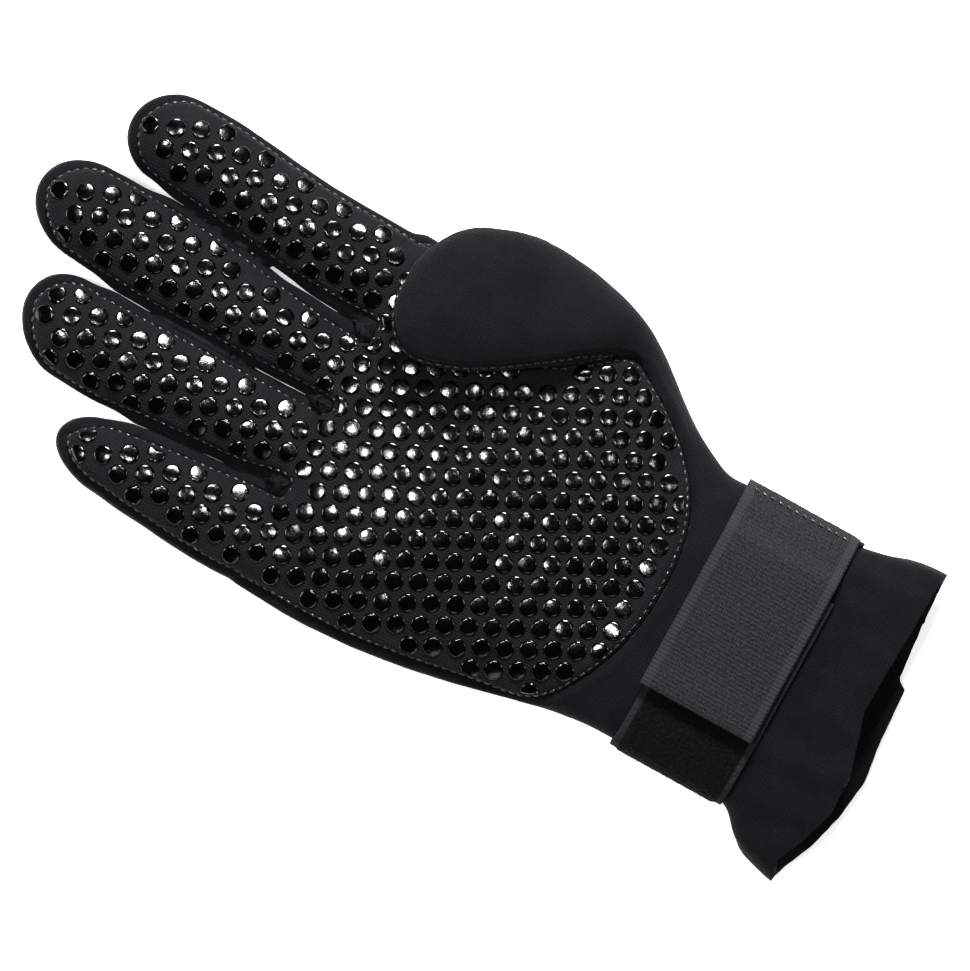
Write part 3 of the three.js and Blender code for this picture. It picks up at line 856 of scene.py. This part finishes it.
def thumb_grip_depth(points):
    """How far each point lies below the seam along the thumb."""
    ys = np.array([part["y"] for part in THUMB])
    keys = ("x", "z", "tilt", "wide", "grip")
    x, z, tilt, wide, grip = (np.interp(points[:, 1], ys, [part[key] for part in THUMB]) for key in keys)
    dx, dz = points[:, 0] - x, points[:, 2] - z
    across = dx * np.cos(tilt) - dz * np.sin(tilt)
    up = dx * np.sin(tilt) + dz * np.cos(tilt)
    wide = np.maximum(wide, 4.0)
    seam = THUMB_SEAM_HIGH * (1 - 2 * (across + wide) / ((grip + 1) * wide))
    return np.minimum(np.minimum(seam - up, grip * wide - across), points[:, 1])


def hem_depth(points):
    """How far each point lies on the hand's side of the cuff's hem, which is cut a little unevenly."""
    upper = smoothstep(points[:, 2], CUFF_MIDDLE - 3, CUFF_MIDDLE + 3)
    hem = hem_at(BACK_HEM, points[:, 0]) * (1 - upper) + hem_at(PALM_HEM, points[:, 0]) * upper
    uneven = np.array([noise.noise(Vector((p[0] * 0.3, 0.0, 3.0))) for p in points])
    return points[:, 1] - hem - HEM_UNEVEN * uneven


points = close_gaps(np.array([vert.co for vert in skin.verts]))
for vert, point in zip(skin.verts, points):
    vert.co = point


def places_of(bm):
    """Finds the vertex nearest to a point, and brings the normals up to date."""
    bm.normal_update()
    bm.verts.ensure_lookup_table()
    tree = KDTree(len(bm.verts))
    for vert in bm.verts:
        tree.insert(vert.co, vert.index)
    tree.balance()
    return tree


skin_places = places_of(skin)
skin_out = [vert.normal.copy() for vert in skin.verts]


def out_at(point):
    """The way out of the uncut skin nearest to a point."""
    return skin_out[skin_places.find(point)[1]]


on_thumb = thumb_ness(points)
palm_depth = np.minimum(union_depth(points, GRIP_OUTLINES), points[:, 2] - PALM_SEAM_HIGH)
LINES = {
    "hem": hem_depth(points),
    "cuff": CUFF_SEAM - points[:, 1],
    "palm": np.minimum(palm_depth, -on_thumb),
    "thumb": np.minimum(thumb_grip_depth(points), on_thumb),
}
layers = {name: values_layer(skin, name, values) for name, values in LINES.items()}
seams = KDTree(len(skin.verts))
for name, layer in layers.items():
    line = cut_where_zero(skin, list(layers.values()), layer)
    if name in ("palm", "thumb"):
        for vert in line:
            seams.insert(vert.co, vert.index)
seams.balance()
cut_away = [face for face in skin.faces if side_of(face, layers["hem"]) < 0]
bmesh.ops.delete(skin, geom=cut_away, context="FACES")


def relief(point, seam_away):
    """How far the cloth stands out: soft swells, puckers at the cuff, a groove and a roll at the seams."""
    swell = SWELL * noise.noise(point * 0.045) + SMALL_SWELL * noise.noise(point * 0.13)
    cuff = float(smoothstep(-point.y, 70.0, 92.0))
    pucker = cuff * PUCKER * noise.noise(Vector((point.x * 0.16, point.y * 0.05, point.z * 0.16)))
    groove = -GROOVE_DEEP * math.exp(-((seam_away / GROOVE_WIDE) ** 2))
    roll = ROLL_HIGH * math.exp(-(((seam_away - ROLL_AWAY) / ROLL_WIDE) ** 2))
    return swell + pucker + groove + roll


moves = []
for vert in skin.verts:
    seam_away = seams.find(vert.co)[2]
    out = out_at(vert.co) * relief(vert.co, seam_away)
    if vert.co.z < 1.0:
        out.z = max(out.z, 0.0)
    moves.append(out)
for vert, out in zip(skin.verts, moves):
    vert.co += out


PANEL_NAMES = ["neoprene_back", "grip_palm", "grip_thumb", "neoprene_cuff"]
for face in skin.faces:
    face.material_index = 0
    for number, line in ((1, "palm"), (2, "thumb"), (3, "cuff")):
        if side_of(face, layers[line]) > 0:
            face.material_index = number
PANELS = {name: panel_of(skin, number) for number, name in enumerate(PANEL_NAMES)}
for bm in PANELS.values():
    draw_back_edges(bm)


# The grip pads

PAD_WIDE = 5.2  # across its flats
PAD_PITCH = 6.55
PAD_HIGH = 0.65
PAD_ROOT = 0.35  # how deep it sits in the cloth
PAD_CORNER = 0.8
PAD_SIDE = 0.45  # its upright side, in PAD_HIGH
PAD_BEVEL = [(0.24, 0.33), (0.4, 0.17)]  # each step inward in mm, and up in PAD_HIGH
PAD_CROWN = 0.02
PAD_DROP = 3.2  # a pad that would reach down more than this over an edge isn't printed
PAD_LEAN = 0.035  # how far off level its top stands, as a slope
PAD_MARGIN = 1.9  # the plain band along the seam
FIRST_ROW = -29.5  # the row nearest the cuff, and how the rows spread towards the fingertips
ROW_STEP = 5.72
ROW_SPREAD = 0.0135
FIRST_PAD = -55.5
PALM_SLOPE = 0.045  # the pattern slips to the right for each mm towards the fingers
ROOT_LINE = 71.0  # the fingers' own patterns start here


def pad_shape():
    """One hexagonal pad with soft corners and a bevelled rim. Its points face the tips and the cuff."""
    bm = bmesh.new()
    bmesh.ops.create_circle(bm, cap_ends=True, radius=PAD_WIDE / math.sqrt(3), segments=6)
    bmesh.ops.bevel(
        bm,
        geom=bm.verts[:],
        offset=PAD_CORNER,
        offset_type="OFFSET",
        segments=1,
        profile=0.5,
        affect="VERTICES",
        material=-1,
    )
    bmesh.ops.translate(bm, verts=bm.verts, vec=(0, 0, -PAD_ROOT))
    raised = bmesh.ops.extrude_face_region(bm, geom=bm.faces[:])["geom"]
    top = next(item for item in raised if isinstance(item, bmesh.types.BMFace))
    bmesh.ops.translate(bm, verts=top.verts, vec=(0, 0, PAD_ROOT + PAD_SIDE * PAD_HIGH))
    bmesh.ops.recalc_face_normals(bm, faces=bm.faces)
    for inward, up in PAD_BEVEL:
        depth = up * PAD_HIGH
        bmesh.ops.inset_individual(bm, faces=[top], thickness=inward, depth=depth, use_even_offset=True)
    middle = bmesh.ops.poke(bm, faces=[top])["verts"]
    bmesh.ops.translate(bm, verts=middle, vec=(0, 0, PAD_CROWN * PAD_HIGH))
    return bm


def row_at(row):
    return FIRST_ROW + ROW_STEP * row + ROW_SPREAD * row * row


def pad_centres():
    """The pads' places as seen from above, palm first, then each finger with its own slip."""
    rows, numbers = np.meshgrid(np.arange(-1, 36), np.arange(-3, 23), indexing="ij")
    y = row_at(rows).ravel()
    x = (FIRST_PAD + PAD_PITCH * (numbers + 0.5 * (rows % 2))).ravel()
    palm = y < ROOT_LINE
    places = [np.stack([x[palm] + PALM_SLOPE * (y[palm] - row_at(6)), y[palm]], axis=1)]
    x, y = x[~palm], y[~palm]
    for finger, outline in zip(FINGERS, GRIP_OUTLINES[1:]):
        at = np.stack([x + finger["drift"] + finger["slope"] * (y - row_at(18)), y], axis=1)
        places.append(at[outline_depth(at, outline) > -PAD_WIDE / 2])
    return np.concatenate(places)


def added_to(bm, mesh):
    """Adds a mesh to a bmesh and gives its vertices there."""
    before = len(bm.verts)
    bm.from_mesh(mesh)
    bm.verts.ensure_lookup_table()
    return bm.verts[before:]


def keep_inside(points, depth_of):
    """Moves the points that lie outside the pads' field to its edge, three times as the edge may curve."""
    small = 0.05
    steps = small * np.eye(3)[:2]
    for _ in range(3):
        depth = depth_of(points)
        slope = np.stack([(depth_of(points + step) - depth) / small for step in steps], axis=1)
        short = np.maximum(0.0, PAD_MARGIN - depth)
        points[:, :2] += slope * short[:, None]
    return points


def printed_pads(panel, centres, depth_of):
    """Pads laid on a panel from above. One that crosses the edge of the field is pressed in to end there."""
    shape = pad_shape()
    shape.verts.ensure_lookup_table()
    form = np.array([vert.co for vert in shape.verts])
    proto = mesh_of(shape, "pad")
    rng = random.Random(7)
    tree = BVHTree.FromBMesh(panel)
    nearest = places_of(panel)
    plans = []
    for x, y in centres:
        turn = math.radians(rng.uniform(-2.5, 2.5))
        grow = rng.uniform(0.96, 1.02)
        cos, sin = math.cos(turn), math.sin(turn)
        turned = np.array([[cos, -sin, 0], [sin, cos, 0], [0, 0, 1]])
        slip = (x + rng.uniform(-0.12, 0.12), y + rng.uniform(-0.12, 0.12), 0)
        plans.append(form * (grow, grow, 1) @ turned.T + slip)
    whole = np.concatenate(plans)
    rim = len(form)
    inside = (depth_of(whole) > PAD_MARGIN).reshape(-1, rim)
    kept = inside.mean(axis=1) > 0.5
    whole = keep_inside(whole.reshape(-1, rim, 3)[kept].reshape(-1, 3), depth_of).reshape(-1, rim, 3)
    bm = bmesh.new()
    for plan in whole:
        spots = []
        lean = Vector((rng.gauss(0, PAD_LEAN), rng.gauss(0, PAD_LEAN)))
        middle = plan.mean(axis=0)
        for x, y, high in plan:
            spot = tree.ray_cast(Vector((x, y, ABOVE)), DOWN)[0]
            if spot is None:
                break
            out = panel.verts[nearest.find(spot)[1]].normal
            if high > 0:
                high += lean.x * (x - middle[0]) + lean.y * (y - middle[1])
            spots.append(spot + out * high)
        heights = [spot.z for spot in spots]
        if len(spots) < rim or max(heights) - min(heights) > PAD_DROP:
            continue
        for vert, spot in zip(added_to(bm, proto), spots):
            vert.co = spot
    return bm


# The stitches

STITCH_LONG = 1.8
STITCH_THICK = 0.75
STITCH_PITCH = 2.45
STITCH_INSET = 1.05  # from the seam
STITCH_PROUD = 0.12  # how far its middle stands over the cloth
TAB_STITCH_PROUD = 0.2


def thread_bead():
    """The shape of one stitch, lying along X."""
    bm = bmesh.new()
    bmesh.ops.create_uvsphere(bm, u_segments=6, v_segments=5, radius=1)
    bmesh.ops.rotate(bm, verts=bm.verts, matrix=Matrix.Rotation(math.pi / 2, 3, "Y"))
    bmesh.ops.scale(bm, verts=bm.verts, vec=(STITCH_LONG / 2, STITCH_THICK / 2, STITCH_THICK / 2))
    return mesh_of(bm, "stitch")


BEAD = thread_bead()


def stitch(bm, spot, along, out):
    """One stitch, a small bead of thread pressed into the cloth."""
    along = along.normalized()
    side = out.cross(along).normalized()
    where = Matrix.Translation(spot) @ Matrix((along, side, along.cross(side))).transposed().to_4x4()
    for vert in added_to(bm, BEAD):
        vert.co = where @ vert.co


def seam_stitches(bm, panel):
    """A row of stitches just inside a panel's edge."""
    tree = BVHTree.FromBMesh(panel)
    nearest = places_of(panel)
    points = longest_edge(panel)
    for _ in range(6):
        points = (np.roll(points, 1, axis=0) + 2 * points + np.roll(points, -1, axis=0)) / 4
    steps = np.linalg.norm(np.roll(points, -1, axis=0) - points, axis=1)
    lengths = np.concatenate([[0], np.cumsum(steps)])
    closed = np.concatenate([points, points[:1]])
    count = int(lengths[-1] / STITCH_PITCH)
    at = np.linspace(0, lengths[-1], count, endpoint=False)
    spots = np.stack([np.interp(at, lengths, closed[:, i]) for i in range(3)], axis=1)
    for number in range(count):
        here = Vector(spots[number])
        along = Vector(spots[(number + 1) % count]) - Vector(spots[number - 1])
        out = panel.verts[nearest.find(here)[1]].normal
        inward = out.cross(along).normalized()
        trials = [tree.find_nearest(here + inward * (way * STITCH_INSET)) for way in (1, -1)]
        best = min(trials, key=lambda trial: trial[3])
        out = panel.verts[nearest.find(best[0])[1]].normal
        stitch(bm, best[0] + out * STITCH_PROUD, along, out)
    return bm


# The strap


def wrist_path(angle, off):
    """A point on the wrist's section, off millimetres outside it, as x and z."""
    wide, thick = WRIST_WIDE / 2, (WRIST_THICK + FLATTENED) / 2
    middle_z = SEAT_RISE + (WRIST_THICK - FLATTENED) / 2
    across = float(rounded(math.cos(angle), WRIST_POWER))
    up = float(rounded(math.sin(angle), WRIST_POWER))
    out = Vector(
        (
            math.copysign(abs(across) ** (WRIST_POWER - 1), across) / wide,
            math.copysign(abs(up) ** (WRIST_POWER - 1), up) / thick,
        )
    ).normalized()
    at = Vector((WRIST_SHIFT + wide * across, middle_z + thick * up))
    if at.y < SEAT_RISE:
        at.y = SEAT_RISE
        out = Vector((0, -1))
    return at + out * off


def angle_at_x(x):
    across = (x - WRIST_SHIFT) / (WRIST_WIDE / 2)
    return math.acos(math.copysign(abs(across) ** (WRIST_POWER / 2), across))


def angle_at_height(up):
    return math.asin((up / ((WRIST_THICK + FLATTENED) / 2)) ** (WRIST_POWER / 2))


TAB_RIGHT = WRIST_RIGHT + SEAM_GAP + TAB_THICK
TAB_LEFT = TAB_RIGHT - TAB_LONG
BAND_TOP = TAB_LEFT + BAND_OVERLAP


def tab_offset(angle):
    x = wrist_path(angle, 0).x
    on_band = float(smoothstep(BAND_TOP + 1.5 * TAB_STEP - x, 0, TAB_STEP))
    lifted = float(smoothstep(TAB_LEFT + 2 * TAB_STEP - x, 0, 2 * TAB_STEP))
    return SEAM_GAP + (BAND_THICK + SEAM_GAP) * on_band + TAB_LIFT * lifted


def strip(angles, offset, upper_edge, rows, thick, uneven):
    """The face of a tape round the wrist. Its UV map holds the length and width along it in metres."""
    at = [wrist_path(angle, offset(angle) + thick) for angle in angles]
    along = np.concatenate([[0], np.cumsum([(b - a).length for a, b in zip(at, at[1:])])])
    count = int(along[-1] / 0.7)
    even = np.interp(np.linspace(0, along[-1], count), along, angles)
    bm = bmesh.new()
    bmesh.ops.create_grid(bm, x_segments=count - 1, y_segments=rows, size=0.5)
    uv = bm.loops.layers.uv.new("tape")
    columns = [wrist_path(angle, offset(angle) + thick) for angle in even]
    for vert in bm.verts:
        column = round((vert.co.x + 0.5) * (count - 1))
        share = vert.co.y + 0.5
        length = along[-1] * column / (count - 1)
        vert.co = Vector((columns[column].x, upper_edge - share * STRAP_WIDE, columns[column].y))
        for loop in vert.link_loops:
            loop[uv].uv = (length * MM, share * STRAP_WIDE * MM)
    bmesh.ops.recalc_face_normals(bm, faces=bm.faces)
    middle = Vector((WRIST_SHIFT, upper_edge, CUFF_MIDDLE))
    outward = sum((vert.co - middle).dot(vert.normal) for vert in bm.verts)
    if outward < 0:
        bmesh.ops.reverse_faces(bm, faces=bm.faces)
    bm.normal_update()
    moves = [(vert, vert.normal * uneven(vert.co)) for vert in bm.verts]
    for vert, move in moves:
        vert.co += move
    return bm


TAB_STITCHES = 12
TAB_STITCH_PITCH = 2.5
TAB_STITCH_X = 28.3  # the row holds the tab's end to the band
TAB_STITCH_START = 3.0  # from the tab's upper edge
TAB_STITCH_WAY = Vector((0.35, 1, 0))
NAP_HIGH = 0.4


def tab_relief(point):
    """The tab's shallow waves."""
    return 0.25 * noise.noise(Vector((point.x * 0.05, point.y * 0.07, 1.0))) - 0.15


def nap_relief(point):
    """The loop tape's nap stands proud of its selvedges."""
    from_edge = min(BAND_EDGE - point.y, STRAP_WIDE - BAND_EDGE + point.y)
    nap = float(smoothstep(from_edge, 1.2, 3.0))
    tufts = 0.5 + noise.noise(point * 1.5)
    return nap * (0.35 + 0.2 * tufts) - NAP_HIGH


band_angles = np.linspace(angle_at_x(BAND_TOP), 2 * math.pi + angle_at_height(STRAP_JOIN), 400)
tab_angles = np.linspace(angle_at_height(STRAP_JOIN + SEAM_GAP), angle_at_x(TAB_LEFT), 200)
band = strip(band_angles, lambda angle: SEAM_GAP, BAND_EDGE, 50, BAND_THICK, nap_relief)
tab = strip(tab_angles, tab_offset, TAB_EDGE, 42, TAB_THICK, tab_relief)


# The pieces
JERSEY = neoprene_jersey()
LINING = lining_jersey()
FOAM = cut_foam()
GRIP = grip_jersey()
SILICONE = printed_silicone()
THREAD = nylon_thread()
HOOK = hook_tape()
LOOP = loop_tape()

palm_pads = printed_pads(PANELS["grip_palm"], pad_centres(), lambda at: union_depth(at, GRIP_OUTLINES))
thread = seam_stitches(bmesh.new(), PANELS["grip_palm"])
seam_stitches(thread, PANELS["grip_thumb"])
tab_face = BVHTree.FromBMesh(tab)
for number in range(TAB_STITCHES):
    above = Vector((TAB_STITCH_X, TAB_EDGE - TAB_STITCH_START - TAB_STITCH_PITCH * number, ABOVE))
    spot, out, _, _ = tab_face.ray_cast(above, DOWN)
    stitch(thread, spot + out * TAB_STITCH_PROUD, TAB_STITCH_WAY, out)
WALLED = [JERSEY, LINING, FOAM]
GRIP_WALLED = [GRIP, LINING, FOAM]
PANEL_FINISHES = {
    "neoprene_back": (WALLED, "neoprene", "back_panel"),
    "neoprene_cuff": (WALLED, "neoprene", "cuff"),
    "grip_palm": (GRIP_WALLED, "grip_fabric", "palm_grip"),
    "grip_thumb": (GRIP_WALLED, "grip_fabric", "thumb_grip"),
}
for name, (finishes, slot, node) in PANEL_FINISHES.items():
    give_wall(PANELS[name], WALL, lambda vert: out_at(vert.co))
    thin_lining(finish(PANELS[name], name, finishes, [node]), LINING_KEPT)
pads = finish(palm_pads, "palm_grip_pads", [SILICONE])
pads.modifiers.new("flat_tops", "WEIGHTED_NORMAL")
finish(thread, "seam_stitches", [THREAD])
give_wall(band, BAND_THICK - NAP_HIGH, lambda vert: vert.normal)
give_wall(tab, TAB_THICK, lambda vert: vert.normal)
finish(band, "loop_band", [LOOP] * 3, ["strap_band"])
finish(tab, "hook_strap_tab", [HOOK] * 3, ["hook_tab"])


# The floor, the lights and the camera
bpy.ops.mesh.primitive_plane_add(size=12)
floor = bpy.context.object
floor.name = "floor"
# A white table lit from below, which leaves hardly any shadow round the glove
lit_table = new_finish("lit_table", "#f6f6f6", 0.9, Emission_Color=(1, 1, 1, 1), Emission_Strength=0.65)[0]
floor.data.materials.append(lit_table)

world = bpy.data.worlds.new("studio")
world.use_nodes = True
world.node_tree.nodes["Background"].inputs["Color"].default_value = (1, 1, 1, 1)
world.node_tree.nodes["Background"].inputs["Strength"].default_value = 0.015
scene = bpy.context.scene
scene.world = world
scene.view_settings.view_transform = "Standard"

PHOTO_ROLL = math.radians(-61)
PHOTO_RIGHT = Vector((math.cos(PHOTO_ROLL), math.sin(PHOTO_ROLL), 0))
PHOTO_UP = Vector((-math.sin(PHOTO_ROLL), math.cos(PHOTO_ROLL), 0))
PHOTO_MIDDLE = place((-6.5, 20.0, 12.0))
PHOTO_WIDE = 0.26675
LENS = 200.0
camera_data = bpy.data.cameras.new("camera")
camera_data.lens = LENS
camera_data.sensor_width = 36.0
camera = bpy.data.objects.new("camera", camera_data)
scene.collection.objects.link(camera)
camera.location = PHOTO_MIDDLE + Vector((0, 0, PHOTO_WIDE * LENS / camera_data.sensor_width))
camera.rotation_euler = (0, 0, PHOTO_ROLL)
scene.camera = camera


def lamp(name, kind, towards, high, power, aim=PHOTO_MIDDLE):
    """A light aimed at a point. towards is its place beside that in the photograph's plane, in metres."""
    data = bpy.data.lights.new(name, kind)
    data.energy = power
    light = bpy.data.objects.new(name, data)
    scene.collection.objects.link(light)
    light.location = aim + PHOTO_RIGHT * towards[0] + PHOTO_UP * towards[1] + Vector((0, 0, high))
    light.rotation_euler = (aim - light.location).to_track_quat("-Z", "Y").to_euler()
    return data


def softbox(name, towards, high, size, power):
    data = lamp(name, "AREA", towards, high, power)
    data.shape = "RECTANGLE"
    data.size, data.size_y = size


GLARE_HIGH = 1.3
GLARE_LAMP_WIDE = 0.065
GLARE_BLEND = 0.5


def glare_spot(name, towards, cone, power, aim):
    """A narrow spot near the camera, whose glare shows only round the point that it is aimed at."""
    data = lamp(name, "SPOT", towards, GLARE_HIGH, power, place(aim))
    data.shadow_soft_size = GLARE_LAMP_WIDE
    data.spot_size = math.radians(cone)
    data.spot_blend = GLARE_BLEND


softbox("key_softbox", (0.15, 1.0), 0.9, (0.35, 0.3), 40)
softbox("left_softbox", (-1.3, 0.1), 0.8, (0.5, 0.4), 6)
softbox("right_softbox", (1.3, 0.0), 0.8, (0.5, 0.4), 6)
softbox("lower_softbox", (0.0, -1.2), 0.9, (0.6, 0.5), 2)
softbox("palm_glare_softbox", (-0.33, 0.08), 1.3, (0.15, 0.15), 6.5)
glare_spot("finger_glare_spot", (0.25, 0.17), 6.5, 24, (2.0, 112.0, 18.0))
glare_spot("heel_glare_spot", (0.21, 0.21), 2.6, 13, (17.0, -20.0, 22.0))
